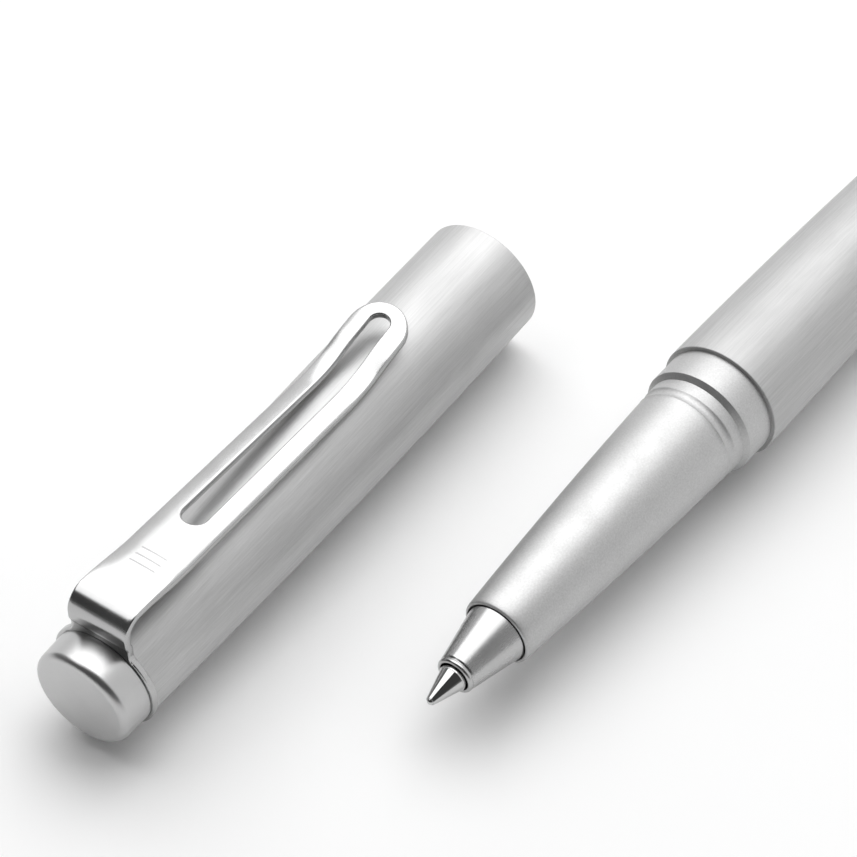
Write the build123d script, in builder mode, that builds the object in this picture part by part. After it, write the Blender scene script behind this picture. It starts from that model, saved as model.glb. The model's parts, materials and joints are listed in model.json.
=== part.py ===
from build123d import *
import math
import os

# A capped rollerball pen lying on a table with its cap taken off and parked beside it.
# Millimetres, +Z up, the table is z = 0. The pen's axis runs along X with the nib towards -X.
# A station is a distance along a piece's own axis: on the pen from the barrel's front rim,
# and on the cap from its mouth. Stations are negative towards the nib and the cap's closed end.

# Where the two lie
BODY_RADIUS = 6.15
RIM_X = -7.96
PEN_Y = -13.44
CAP_X = -8.66
CAP_Y = 13.49
CAP_YAW = 3.25

# How far the middle of a quarter-round stands from both of its sides, as a share of its radius
ROUND_MIDDLE = 1 - math.sqrt(0.5)

# Barrel
BARREL_CROWN = 860.0
BARREL_CROWN_TOP = -1.0
TAPER_START = 26.0
BARREL_END = 74.0
RIM_FACE = 0.1
RIM_ROUND = 0.12
COUNTERBORE = 5.54
INSERT_BORE = 5.3
FRONT_BORE = 4.6
REAR_BORE = 3.4
BORE_STEP = 38.0
BORE_SLOPE = 2.0
INSERT_LENGTH = 7.5

# Screw joint between the section and the barrel
THREAD_PITCH = 0.75
THREAD_TURNS = 8
THREAD_START = 2.3
THREAD_CREST = 4.7
THREAD_ROOT = 4.3
THREAD_CLEARANCE = 0.05
THREAD_FLANK = 0.4
THREAD_FLAT = 0.15
THREAD_VALLEY = 0.1
SPIGOT_END = 1.2
NECK_RADIUS = 4.55
O_RING_WIRE = 0.33
FIT = 0.03

# Grip section
NOSE_RIM = -34.15
NOSE_RIM_RADIUS = 3.43
NOSE_RIM_ROUND = 0.2
GRIP_MID = -20.0
GRIP_MID_RADIUS = 4.45
GRIP_END = -6.0
GRIP_END_RADIUS = 5.15
GROOVE_BACK = -5.05
GROOVE_FRONT = -5.9
GROOVE_DEPTH = 0.1
LAND_RADIUS = 5.22
STEP_FOOT = -3.75
COLLAR_FRONT = -3.3
COLLAR_RADIUS = 5.72
COLLAR_CHAMFER = 0.08
SPIGOT_RADIUS = 5.5
SECTION_BORE = 3.2
NOSE_SOCKET = 3.12
SOCKET_END = -27.6

# Nose cone
LIP_FACE = -40.15
LIP_RADIUS = 1.88
LIP_ROUND = 0.28
CONE_FRONT = -39.5
CONE_FRONT_RADIUS = 1.91
CONE_BACK_RADIUS = 3.0
NIB_HOLE = 1.5
NIB_HOLE_DEPTH = 1.55
HOLDER_SPACE = 0.4
NOSE_BORE = 2.05
NOSE_SPIGOT_BORE = 2.45
NOSE_WALL_STEP = -34.6

# Refill
REFILL_RADIUS = 3.05
REFILL_WALL = 0.45
REFILL_FRONT = -27.2
REFILL_BACK = 64.4
TUBE_END = 63.4
HOLDER_PLUG_END = -23.2
HOLDER_HOLLOW = 1.8
HOLDER_HOLLOW_FRONT = -30.6
HOLDER_FRONT = -37.0
HOLDER_NECK = 1.95
HOLDER_BODY = 2.35
HOLDER_STEP = -34.5
NIB_SHOULDER = -40.45
NIB_BARREL = 1.36
NIB_SHANK = 1.0
NIB_SHANK_END = -31.0
NIB_RIM = -43.45
NIB_RIM_RADIUS = 0.42
NIB_CONE_RADIUS = 1.3
INK_CHANNEL = 0.25
BALL_RADIUS = 0.35
BALL_CENTRE = -43.35
BALL_CLEARANCE = 0.015
INK_END = 44.0
FOLLOWER_END = 49.0
PLUG_FRONT = 61.4
PLUG_VENT = 0.5
PLUG_CHAMFER = 0.2

# Tail of the barrel
TAIL_RING_RADIUS = 4.4
TAIL_RING_END = 74.65
TAIL_RING_CHAMFER = 0.05
TAIL_FACE = 78.0
TAIL_SPIGOT_FRONT = 70.0
TAIL_ROUND = 0.8
SEAT_THICKNESS = 0.5
SEAT_HOLE = 0.8
SEAT_RADIUS = 3.3
SPRING_RADIUS = 2.5
SPRING_WIRE = 0.2
SPRING_TURNS = 5

# Cap
CAP_CROWN = 1160.0
CAP_CROWN_TOP = -9.0
CAP_END = -57.2
MOUTH_BORE = 5.78
MOUTH_BORE_END = -4.2
MOUTH_CHAMFER = 0.1
CAP_BORE = 5.42
CAP_BORE_END = -30.5
CAP_REAR_BORE = 4.75
END_WALL = -55.6
CLUTCH_END = -9.0
CLUTCH_BORE = 5.28
CLUTCH_LEAD = 0.08
CLUTCH_BEAD = 5.17
CLUTCH_BEAD_STATION = -5.35
CLUTCH_BEAD_WIDTH = 0.8
INNER_CAP_FRONT = -31.0
INNER_CAP_RADIUS = 4.7
INNER_CAP_MOUTH = 3.95
INNER_CAP_CHAMFER = (0.4, 0.2)
INNER_CAP_STEP = -37.5
INNER_CAP_BORE = 3.2
PAD_FRONT = -44.3
PAD_BACK = -45.5
INNER_CAP_BACK = -47.4

# Clip and finial
CLIP_THICKNESS = 0.75
CLIP_RING_RADIUS = 5.4
CLIP_RING_CHAMFER = 0.06
CLIP_TAB_FOOT = 3.5
CLIP_RING_FACE = -57.9
CLIP_FACE = -58.15
CLIP_SPLIT = 6.3
CLIP_GAP = 0.05
CLIP_ROOT_WIDTH = 6.28
CLIP_TIP_RADIUS = 2.95
CLIP_TIP = -14.7
CLIP_SHOULDER = (-56.0, 9.12)
CLIP_HEEL = (-57.5, 8.42)
CLIP_REACH = (-26.0, 7.2)
CLIP_LOW = (-23.3, 7.03)
CLIP_RISE = (-18.6, 8.2)
CLIP_END = (CLIP_TIP, 8.9)
CLIP_BEND_FOOT = 7.0
CLIP_INNER_SHOULDER = (-55.9, 8.37)
CLIP_INNER_HEEL = (-56.95, 7.9)
SLOT_START = -45.6
SLOT_END = -16.1
SLOT_START_RADIUS = 1.25
SLOT_END_RADIUS = 1.07
CLIP_TALL = 12.0
FINIAL_FACE = -61.25
FINIAL_ROUND = 0.8
FINIAL_BACK_RADIUS = 5.1
FINIAL_FRONT_RADIUS = 5.0
SEAM = 0.12
STUD_RADIUS = 1.5
STUD_FRONT = -59.9
STUD_END = -51.6
NUT_RADIUS = 3.4
NUT_FRONT = -52.4

CAP_DIRECTION = Vector(math.cos(math.radians(CAP_YAW)), math.sin(math.radians(CAP_YAW)), 0)
PEN = Plane(origin=(RIM_X, PEN_Y, BODY_RADIUS), x_dir=(1, 0, 0), z_dir=(0, -1, 0))
CAP = Plane(origin=(CAP_X, CAP_Y, BODY_RADIUS), x_dir=CAP_DIRECTION, z_dir=CAP_DIRECTION.rotate(Axis.Z, -90))
CAP_PLAN = Plane(origin=CAP.origin, x_dir=CAP_DIRECTION, z_dir=(0, 0, 1))
PEN_AXIS = Axis(PEN.origin, PEN.x_dir)
CAP_AXIS = Axis(CAP.origin, CAP.x_dir)


def crown(station, top, radius):
    """Outer radius of a tube whose outline is a long arc with its widest place at top."""
    return BODY_RADIUS - (station - top) ** 2 / (2 * radius)


def barrel_radius(station):
    """The barrel's outline: the crown, and past TAPER_START the straight line tangent to it."""
    if station <= TAPER_START:
        return crown(station, BARREL_CROWN_TOP, BARREL_CROWN)
    slope = (TAPER_START - BARREL_CROWN_TOP) / BARREL_CROWN
    return barrel_radius(TAPER_START) - slope * (station - TAPER_START)


def cap_radius(station):
    """The cap tube's outline."""
    return crown(station, CAP_CROWN_TOP, CAP_CROWN)


def arc_along(outline, start, end):
    """An arc over one stretch of an outline given as a radius for each station."""
    middle = (start + end) / 2
    return ThreePointArc((start, outline(start)), (middle, outline(middle)), (end, outline(end)))


def turned(*corners):
    """A closed profile of straight lines, as a lathe cuts it, in the active sketch."""
    with BuildLine(Plane.XY) as outline:
        Polyline(*corners, close=True)
    make_face(outline.edges())


def save(piece, name):
    """Labels one finished sub-part and writes it to its own file."""
    piece.part.label = name
    export_step(piece.part, f"parts/{name}.step")


os.makedirs("parts", exist_ok=True)

# Grip section: blasted aluminium. Slim front, long crowned taper, a groove, a step up to the
# collar that the cap slides over, and behind it the spigot and the male thread.
THREAD_END = THREAD_START + THREAD_TURNS * THREAD_PITCH
SECTION_END = THREAD_END + THREAD_VALLEY * THREAD_PITCH
with BuildPart() as grip_section:
    with BuildSketch(PEN):
        with BuildLine():
            thread = [(SPIGOT_END, SPIGOT_RADIUS), (SPIGOT_END, NECK_RADIUS), (THREAD_START, NECK_RADIUS)]
            for turn in range(THREAD_TURNS):
                foot = THREAD_START + (turn + THREAD_VALLEY) * THREAD_PITCH
                thread.append((foot, THREAD_ROOT))
                thread.append((foot + THREAD_FLANK * THREAD_PITCH, THREAD_CREST))
                thread.append((foot + (THREAD_FLANK + THREAD_FLAT) * THREAD_PITCH, THREAD_CREST))
            thread.append((SECTION_END, THREAD_ROOT))
            Polyline(
                *thread,
                (SECTION_END, SECTION_BORE),
                (SOCKET_END, SECTION_BORE),
                (SOCKET_END, NOSE_SOCKET),
                (NOSE_RIM, NOSE_SOCKET),
                (NOSE_RIM, NOSE_RIM_RADIUS - NOSE_RIM_ROUND),
                (NOSE_RIM + NOSE_RIM_ROUND, NOSE_RIM_RADIUS),
            )
            ThreePointArc(
                (NOSE_RIM + NOSE_RIM_ROUND, NOSE_RIM_RADIUS),
                (GRIP_MID, GRIP_MID_RADIUS),
                (GRIP_END, GRIP_END_RADIUS),
            )
            Polyline(
                (GRIP_END, GRIP_END_RADIUS),
                (GROOVE_FRONT, LAND_RADIUS - GROOVE_DEPTH),
                (GROOVE_BACK - GROOVE_DEPTH, LAND_RADIUS - GROOVE_DEPTH),
                (GROOVE_BACK, LAND_RADIUS),
                (STEP_FOOT, LAND_RADIUS),
                (COLLAR_FRONT, COLLAR_RADIUS - COLLAR_CHAMFER),
                (COLLAR_FRONT + COLLAR_CHAMFER, COLLAR_RADIUS),
                (RIM_FACE, COLLAR_RADIUS),
                (RIM_FACE, SPIGOT_RADIUS),
                (SPIGOT_END, SPIGOT_RADIUS),
            )
        make_face()
    revolve(axis=PEN_AXIS)
save(grip_section, "grip_section")

# Nose cone: polished steel, a cone with a small rounded lip and a spigot pressed into the section.
with BuildPart() as nose_cone:
    with BuildSketch(PEN):
        with BuildLine():
            Polyline(
                (LIP_FACE, LIP_RADIUS - LIP_ROUND),
                (LIP_FACE, NIB_HOLE),
                (LIP_FACE + NIB_HOLE_DEPTH, NIB_HOLE),
                (HOLDER_FRONT - HOLDER_SPACE, NOSE_BORE),
                (NOSE_WALL_STEP, NOSE_BORE),
                (NOSE_WALL_STEP, NOSE_SPIGOT_BORE),
                (SOCKET_END - FIT, NOSE_SPIGOT_BORE),
                (SOCKET_END - FIT, NOSE_SOCKET - FIT),
                (NOSE_RIM, NOSE_SOCKET - FIT),
                (NOSE_RIM - FIT, CONE_BACK_RADIUS),
                (CONE_FRONT, CONE_FRONT_RADIUS),
                (CONE_FRONT, LIP_RADIUS),
                (LIP_FACE + LIP_ROUND, LIP_RADIUS),
            )
            ThreePointArc(
                (LIP_FACE + LIP_ROUND, LIP_RADIUS),
                (LIP_FACE + ROUND_MIDDLE * LIP_ROUND, LIP_RADIUS - ROUND_MIDDLE * LIP_ROUND),
                (LIP_FACE, LIP_RADIUS - LIP_ROUND),
            )
        make_face()
    revolve(axis=PEN_AXIS)
save(nose_cone, "nose_cone")

# Rubber ring round the neck behind the spigot, which stops the barrel from working loose.
with BuildPart() as section_o_ring:
    with BuildSketch(PEN):
        with Locations((SPIGOT_END + O_RING_WIRE + FIT, NECK_RADIUS + O_RING_WIRE + FIT)):
            Circle(O_RING_WIRE)
    revolve(axis=PEN_AXIS)
save(section_o_ring, "section_o_ring")

# Barrel: brushed aluminium tube, crowned at the front and tapering straight to the tail.
INSERT_FRONT = SPIGOT_END + 2 * O_RING_WIRE + 4 * FIT
INSERT_END = INSERT_FRONT + INSERT_LENGTH
with BuildPart() as barrel_tube:
    with BuildSketch(PEN):
        with BuildLine():
            Polyline(
                (RIM_FACE + RIM_ROUND, barrel_radius(RIM_FACE + RIM_ROUND)),
                (RIM_FACE, barrel_radius(RIM_FACE) - RIM_ROUND),
                (RIM_FACE, COUNTERBORE),
                (INSERT_FRONT, COUNTERBORE),
                (INSERT_FRONT, INSERT_BORE),
                (INSERT_END, INSERT_BORE),
                (INSERT_END, FRONT_BORE),
                (BORE_STEP, FRONT_BORE),
                (BORE_STEP + BORE_SLOPE, REAR_BORE),
                (BARREL_END, REAR_BORE),
                (BARREL_END, barrel_radius(BARREL_END)),
                (TAPER_START, barrel_radius(TAPER_START)),
            )
            arc_along(barrel_radius, RIM_FACE + RIM_ROUND, TAPER_START)
        make_face()
    revolve(axis=PEN_AXIS)
save(barrel_tube, "barrel_tube")

# Brass bush pressed into the barrel, which holds the female thread.
with BuildPart() as barrel_thread_insert:
    with BuildSketch(PEN):
        turned(
            (INSERT_FRONT + FIT, THREAD_CREST + THREAD_CLEARANCE),
            (INSERT_FRONT + FIT, INSERT_BORE - FIT),
            (INSERT_END - FIT, INSERT_BORE - FIT),
            (INSERT_END - FIT, THREAD_CREST + THREAD_CLEARANCE),
        )
    revolve(axis=PEN_AXIS)
save(barrel_thread_insert, "barrel_thread_insert")

# Thin trim ring between the barrel and the tail button.
with BuildPart() as tail_ring:
    with BuildSketch(PEN):
        turned(
            (BARREL_END, REAR_BORE),
            (TAIL_RING_END, REAR_BORE),
            (TAIL_RING_END, TAIL_RING_RADIUS - TAIL_RING_CHAMFER),
            (TAIL_RING_END - TAIL_RING_CHAMFER, TAIL_RING_RADIUS),
            (BARREL_END + TAIL_RING_CHAMFER, TAIL_RING_RADIUS),
            (BARREL_END, TAIL_RING_RADIUS - TAIL_RING_CHAMFER),
        )
    revolve(axis=PEN_AXIS)
save(tail_ring, "tail_ring")

# Tail button: polished end with a rounded edge and a spigot pressed into the barrel.
TAIL_BUTTON_RADIUS = barrel_radius(TAIL_RING_END)
with BuildPart() as tail_button:
    with BuildSketch(PEN):
        with BuildLine():
            Polyline(
                (TAIL_FACE, TAIL_BUTTON_RADIUS - TAIL_ROUND),
                (TAIL_FACE, 0),
                (TAIL_SPIGOT_FRONT, 0),
                (TAIL_SPIGOT_FRONT, REAR_BORE - FIT),
                (TAIL_RING_END, REAR_BORE - FIT),
                (TAIL_RING_END, TAIL_BUTTON_RADIUS - SEAM),
                (TAIL_RING_END + SEAM, TAIL_BUTTON_RADIUS),
                (TAIL_FACE - TAIL_ROUND, TAIL_BUTTON_RADIUS),
            )
            ThreePointArc(
                (TAIL_FACE - TAIL_ROUND, TAIL_BUTTON_RADIUS),
                (TAIL_FACE - ROUND_MIDDLE * TAIL_ROUND, TAIL_BUTTON_RADIUS - ROUND_MIDDLE * TAIL_ROUND),
                (TAIL_FACE, TAIL_BUTTON_RADIUS - TAIL_ROUND),
            )
        make_face()
    revolve(axis=PEN_AXIS)
save(tail_button, "tail_button")

# Steel washer that the refill spring stands on at the tail.
SEAT_FRONT = TAIL_SPIGOT_FRONT - FIT - SEAT_THICKNESS
with BuildPart() as spring_seat:
    with BuildSketch(PEN):
        turned(
            (SEAT_FRONT, SEAT_HOLE),
            (SEAT_FRONT, SEAT_RADIUS),
            (SEAT_FRONT + SEAT_THICKNESS, SEAT_RADIUS),
            (SEAT_FRONT + SEAT_THICKNESS, SEAT_HOLE),
        )
    revolve(axis=PEN_AXIS)
save(spring_seat, "spring_seat")

# Compression spring that pushes the refill forward.
SPRING_START = REFILL_BACK + SPRING_WIRE + FIT
SPRING_LENGTH = SEAT_FRONT - FIT - SPRING_WIRE - SPRING_START
with BuildPart() as refill_spring:
    with BuildLine() as coil:
        Helix(
            SPRING_LENGTH / SPRING_TURNS,
            SPRING_LENGTH,
            SPRING_RADIUS,
            center=PEN_AXIS.position + Vector(SPRING_START, 0, 0),
            direction=(1, 0, 0),
        )
    with BuildSketch(Plane(origin=coil.line @ 0, z_dir=coil.line % 0)):
        Circle(SPRING_WIRE)
    sweep(path=coil.line, is_frenet=True)
save(refill_spring, "refill_spring")

# Refill tube, open at the back behind the follower, closed there by its end plug.
with BuildPart() as refill_tube:
    with BuildSketch(PEN):
        turned(
            (REFILL_FRONT, REFILL_RADIUS - REFILL_WALL),
            (REFILL_FRONT, REFILL_RADIUS),
            (TUBE_END, REFILL_RADIUS),
            (TUBE_END, REFILL_RADIUS - REFILL_WALL),
        )
    revolve(axis=PEN_AXIS)
save(refill_tube, "refill_tube")

# Plastic holder that carries the nib: a neck, a shoulder and a plug that fills the tube's front.
with BuildPart() as refill_tip_holder:
    with BuildSketch(PEN):
        turned(
            (HOLDER_FRONT, NIB_SHANK + FIT),
            (HOLDER_FRONT, HOLDER_NECK),
            (HOLDER_STEP, HOLDER_NECK),
            (HOLDER_STEP, HOLDER_BODY),
            (HOLDER_PLUG_END, HOLDER_BODY),
            (HOLDER_PLUG_END, HOLDER_HOLLOW),
            (HOLDER_HOLLOW_FRONT, HOLDER_HOLLOW),
            (HOLDER_HOLLOW_FRONT, NIB_SHANK + FIT),
        )
    revolve(axis=PEN_AXIS)
save(refill_tip_holder, "refill_tip_holder")

# Nib: bright steel cone with a small shoulder, a socket for the ball and an ink channel.
SOCKET_RADIUS = BALL_RADIUS + BALL_CLEARANCE
SOCKET_MOUTH = math.sqrt(SOCKET_RADIUS**2 - (NIB_RIM - BALL_CENTRE) ** 2)
SOCKET_BACK = BALL_CENTRE + math.sqrt(SOCKET_RADIUS**2 - INK_CHANNEL**2)
with BuildPart() as nib:
    with BuildSketch(PEN):
        with BuildLine():
            Polyline(
                (NIB_RIM, SOCKET_MOUTH),
                (NIB_RIM, NIB_RIM_RADIUS),
                (NIB_SHOULDER, NIB_CONE_RADIUS),
                (NIB_SHOULDER, NIB_BARREL),
                (HOLDER_FRONT - FIT, NIB_BARREL),
                (HOLDER_FRONT - FIT, NIB_SHANK),
                (NIB_SHANK_END, NIB_SHANK),
                (NIB_SHANK_END, INK_CHANNEL),
                (SOCKET_BACK, INK_CHANNEL),
            )
            ThreePointArc((SOCKET_BACK, INK_CHANNEL), (BALL_CENTRE, SOCKET_RADIUS), (NIB_RIM, SOCKET_MOUTH))
        make_face()
    revolve(axis=PEN_AXIS)
save(nib, "nib")

# Writing ball.
with BuildPart() as writing_ball:
    with Locations(PEN_AXIS.position + Vector(BALL_CENTRE, 0, 0)):
        Sphere(BALL_RADIUS)
save(writing_ball, "writing_ball")

# Ink, and behind it the follower that seals it off from the air.
TUBE_BORE = REFILL_RADIUS - REFILL_WALL - FIT
with BuildPart() as refill_ink:
    with BuildSketch(PEN):
        turned(
            (HOLDER_PLUG_END + FIT, 0),
            (HOLDER_PLUG_END + FIT, TUBE_BORE),
            (INK_END, TUBE_BORE),
            (INK_END, 0),
        )
    revolve(axis=PEN_AXIS)
save(refill_ink, "refill_ink")

with BuildPart() as ink_follower:
    with BuildSketch(PEN):
        turned(
            (INK_END + FIT, 0),
            (INK_END + FIT, TUBE_BORE),
            (FOLLOWER_END, TUBE_BORE),
            (FOLLOWER_END, 0),
        )
    revolve(axis=PEN_AXIS)
save(ink_follower, "ink_follower")

# End plug of the refill, with the vent hole that lets air in behind the ink.
with BuildPart() as refill_end_plug:
    with BuildSketch(PEN):
        turned(
            (PLUG_FRONT, PLUG_VENT),
            (PLUG_FRONT, TUBE_BORE),
            (TUBE_END + FIT, TUBE_BORE),
            (TUBE_END + FIT, REFILL_RADIUS),
            (REFILL_BACK - PLUG_CHAMFER, REFILL_RADIUS),
            (REFILL_BACK, REFILL_RADIUS - PLUG_CHAMFER),
            (REFILL_BACK, PLUG_VENT),
        )
    revolve(axis=PEN_AXIS)
save(refill_end_plug, "refill_end_plug")

# Cap tube: brushed aluminium, square-cut mouth, gently crowned, with an end wall drilled for the stud.
with BuildPart() as cap_tube:
    with BuildSketch(CAP):
        with BuildLine():
            Polyline(
                (CAP_END, cap_radius(CAP_END)),
                (CAP_END, STUD_RADIUS + FIT),
                (END_WALL, STUD_RADIUS + FIT),
                (END_WALL, CAP_REAR_BORE),
                (CAP_BORE_END, CAP_REAR_BORE),
                (CAP_BORE_END, CAP_BORE),
                (MOUTH_BORE_END, CAP_BORE),
                (MOUTH_BORE_END, MOUTH_BORE),
                (0, MOUTH_BORE),
                (0, cap_radius(0) - MOUTH_CHAMFER),
                (-MOUTH_CHAMFER, cap_radius(-MOUTH_CHAMFER)),
            )
            arc_along(cap_radius, CAP_END, -MOUTH_CHAMFER)
        make_face()
    revolve(axis=CAP_AXIS)
save(cap_tube, "cap_tube")

# Plastic clutch ring inside the mouth, whose bead snaps into the section's groove.
with BuildPart() as cap_clutch_ring:
    with BuildSketch(CAP):
        turned(
            (MOUTH_BORE_END - FIT, CLUTCH_BORE + CLUTCH_LEAD),
            (MOUTH_BORE_END - FIT, CAP_BORE - FIT / 2),
            (CLUTCH_END, CAP_BORE - FIT / 2),
            (CLUTCH_END, CLUTCH_BORE),
            (CLUTCH_BEAD_STATION - CLUTCH_BEAD_WIDTH / 2, CLUTCH_BORE),
            (CLUTCH_BEAD_STATION - CLUTCH_BEAD_WIDTH / 4, CLUTCH_BEAD),
            (CLUTCH_BEAD_STATION + CLUTCH_BEAD_WIDTH / 4, CLUTCH_BEAD),
            (CLUTCH_BEAD_STATION + CLUTCH_BEAD_WIDTH / 2, CLUTCH_BORE),
        )
    revolve(axis=CAP_AXIS)
save(cap_clutch_ring, "cap_clutch_ring")

# Inner cap: a plastic cup that closes round the nose cone and keeps the nib from drying out.
with BuildPart() as inner_cap:
    with BuildSketch(CAP):
        turned(
            (INNER_CAP_FRONT, INNER_CAP_MOUTH + INNER_CAP_CHAMFER[1]),
            (INNER_CAP_FRONT, INNER_CAP_RADIUS),
            (INNER_CAP_BACK, INNER_CAP_RADIUS),
            (INNER_CAP_BACK, 0),
            (PAD_BACK, 0),
            (PAD_BACK, INNER_CAP_BORE),
            (INNER_CAP_STEP, INNER_CAP_BORE),
            (INNER_CAP_STEP, INNER_CAP_MOUTH),
            (INNER_CAP_FRONT - INNER_CAP_CHAMFER[0], INNER_CAP_MOUTH),
        )
    revolve(axis=CAP_AXIS)
save(inner_cap, "inner_cap")

# Soft pad at the bottom of the inner cap.
with BuildPart() as nib_seal_pad:
    with BuildSketch(CAP):
        turned(
            (PAD_BACK + FIT, 0),
            (PAD_BACK + FIT, INNER_CAP_BORE - FIT),
            (PAD_FRONT, INNER_CAP_BORE - FIT),
            (PAD_FRONT, 0),
        )
    revolve(axis=CAP_AXIS)
save(nib_seal_pad, "nib_seal_pad")

# Clip collar: the clip's ring, clamped between the cap tube and the finial, with its short tab.
with BuildPart() as clip_collar:
    with BuildSketch(CAP):
        turned(
            (CLIP_RING_FACE, STUD_RADIUS + FIT),
            (CLIP_RING_FACE, CLIP_RING_RADIUS - CLIP_RING_CHAMFER),
            (CLIP_RING_FACE + CLIP_RING_CHAMFER, CLIP_RING_RADIUS),
            (CAP_END - CLIP_RING_CHAMFER, CLIP_RING_RADIUS),
            (CAP_END, CLIP_RING_RADIUS - CLIP_RING_CHAMFER),
            (CAP_END, STUD_RADIUS + FIT),
        )
    revolve(axis=CAP_AXIS)
    with BuildSketch(CAP):
        turned(
            (CLIP_RING_FACE, CLIP_TAB_FOOT),
            (CLIP_RING_FACE, CLIP_RING_RADIUS - CLIP_RING_CHAMFER),
            (CLIP_FACE, CLIP_SPLIT),
            (CLIP_FACE + CLIP_THICKNESS, CLIP_SPLIT),
            (CAP_END, CLIP_RING_RADIUS - CLIP_RING_CHAMFER),
            (CAP_END, CLIP_TAB_FOOT),
        )
    extrude(amount=CLIP_ROOT_WIDTH / 2, both=True)
save(clip_collar, "clip_collar")

# Clip arm: sprung steel strip. It bends back over the collar, slopes down to the tube and kicks up
# at its rounded tip. A long slot with round ends runs along its middle.
with BuildPart() as clip_arm:
    with BuildSketch(CAP):
        with BuildLine():
            foot = CLIP_SPLIT + CLIP_GAP
            inner_face = CLIP_FACE + CLIP_THICKNESS
            Polyline(
                (inner_face, CLIP_BEND_FOOT),
                (inner_face, foot),
                (CLIP_FACE, foot),
                (CLIP_FACE, CLIP_BEND_FOOT),
            )
            ThreePointArc((CLIP_FACE, CLIP_BEND_FOOT), CLIP_HEEL, CLIP_SHOULDER)
            Line(CLIP_SHOULDER, CLIP_REACH)
            top = Spline(CLIP_REACH, CLIP_LOW, CLIP_RISE, CLIP_END)
            under = [(s, h - CLIP_THICKNESS) for s, h in (CLIP_END, CLIP_RISE, CLIP_LOW, CLIP_REACH)]
            Line(top @ 1, under[0])
            Spline(*under)
            Line(under[-1], CLIP_INNER_SHOULDER)
            ThreePointArc(CLIP_INNER_SHOULDER, CLIP_INNER_HEEL, (inner_face, CLIP_BEND_FOOT))
        make_face()
    extrude(amount=CLIP_ROOT_WIDTH / 2, both=True)
    with BuildSketch(CAP_PLAN):
        with Locations((CLIP_FACE, 0)):
            Rectangle(CLIP_ROOT_WIDTH, CLIP_ROOT_WIDTH)
        with Locations((CLIP_TIP - CLIP_TIP_RADIUS, 0)):
            Circle(CLIP_TIP_RADIUS)
        make_hull()
    extrude(amount=CLIP_TALL, mode=Mode.INTERSECT)
    with BuildSketch(CAP_PLAN):
        with Locations((SLOT_START + SLOT_START_RADIUS, 0)):
            Circle(SLOT_START_RADIUS)
        with Locations((SLOT_END - SLOT_END_RADIUS, 0)):
            Circle(SLOT_END_RADIUS)
        make_hull()
    extrude(amount=CLIP_TALL, mode=Mode.SUBTRACT)
save(clip_arm, "clip_arm")

# Finial: polished end button of the cap, flat face and rounded edge, drilled for the stud.
finial_corner = ROUND_MIDDLE * FINIAL_ROUND
with BuildPart() as finial:
    with BuildSketch(CAP):
        with BuildLine():
            Polyline(
                (FINIAL_FACE + FINIAL_ROUND, FINIAL_FRONT_RADIUS),
                (CLIP_RING_FACE - SEAM, FINIAL_BACK_RADIUS),
                (CLIP_RING_FACE, FINIAL_BACK_RADIUS - SEAM),
                (CLIP_RING_FACE, STUD_RADIUS + FIT),
                (STUD_FRONT - FIT, STUD_RADIUS + FIT),
                (STUD_FRONT - FIT, 0),
                (FINIAL_FACE, 0),
                (FINIAL_FACE, FINIAL_FRONT_RADIUS - FINIAL_ROUND),
            )
            ThreePointArc(
                (FINIAL_FACE, FINIAL_FRONT_RADIUS - FINIAL_ROUND),
                (FINIAL_FACE + finial_corner, FINIAL_FRONT_RADIUS - finial_corner),
                (FINIAL_FACE + FINIAL_ROUND, FINIAL_FRONT_RADIUS),
            )
        make_face()
    revolve(axis=CAP_AXIS)
save(finial, "finial")

# Stud that holds the finial and the clip's ring to the cap's end wall.
with BuildPart() as finial_stud:
    with BuildSketch(CAP):
        turned((STUD_FRONT, 0), (STUD_FRONT, STUD_RADIUS), (STUD_END, STUD_RADIUS), (STUD_END, 0))
    revolve(axis=CAP_AXIS)
save(finial_stud, "finial_stud")

# Brass nut on the stud, drawn up against the inside of the end wall.
nut_seat = CAP_AXIS.position + CAP_DIRECTION * (END_WALL + FIT)
with BuildPart() as finial_nut:
    with BuildSketch(Plane(origin=nut_seat, z_dir=CAP_DIRECTION)):
        RegularPolygon(NUT_RADIUS, 6)
        Circle(STUD_RADIUS + FIT, mode=Mode.SUBTRACT)
    extrude(amount=NUT_FRONT - END_WALL - FIT)
save(finial_nut, "finial_nut")
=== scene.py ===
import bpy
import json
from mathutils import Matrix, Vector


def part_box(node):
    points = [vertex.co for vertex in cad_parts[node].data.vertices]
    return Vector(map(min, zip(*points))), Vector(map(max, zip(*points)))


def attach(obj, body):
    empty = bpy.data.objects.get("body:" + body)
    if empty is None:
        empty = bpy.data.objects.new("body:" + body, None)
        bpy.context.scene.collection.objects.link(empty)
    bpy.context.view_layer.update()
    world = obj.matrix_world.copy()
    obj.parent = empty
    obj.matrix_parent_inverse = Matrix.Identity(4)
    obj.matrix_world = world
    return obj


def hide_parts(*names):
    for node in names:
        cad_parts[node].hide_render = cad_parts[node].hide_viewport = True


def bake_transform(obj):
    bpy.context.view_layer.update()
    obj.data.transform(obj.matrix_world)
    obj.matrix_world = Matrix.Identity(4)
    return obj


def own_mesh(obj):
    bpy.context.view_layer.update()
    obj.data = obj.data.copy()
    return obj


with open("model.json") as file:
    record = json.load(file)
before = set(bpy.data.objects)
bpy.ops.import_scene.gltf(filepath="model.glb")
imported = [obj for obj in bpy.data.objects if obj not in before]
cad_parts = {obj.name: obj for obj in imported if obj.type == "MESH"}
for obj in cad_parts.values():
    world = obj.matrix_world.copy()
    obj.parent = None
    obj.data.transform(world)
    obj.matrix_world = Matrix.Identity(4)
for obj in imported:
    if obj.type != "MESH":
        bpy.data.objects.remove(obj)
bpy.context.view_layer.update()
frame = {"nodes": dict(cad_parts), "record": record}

import json
import math

import bmesh
import bpy
from mathutils import Matrix, Vector

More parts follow.
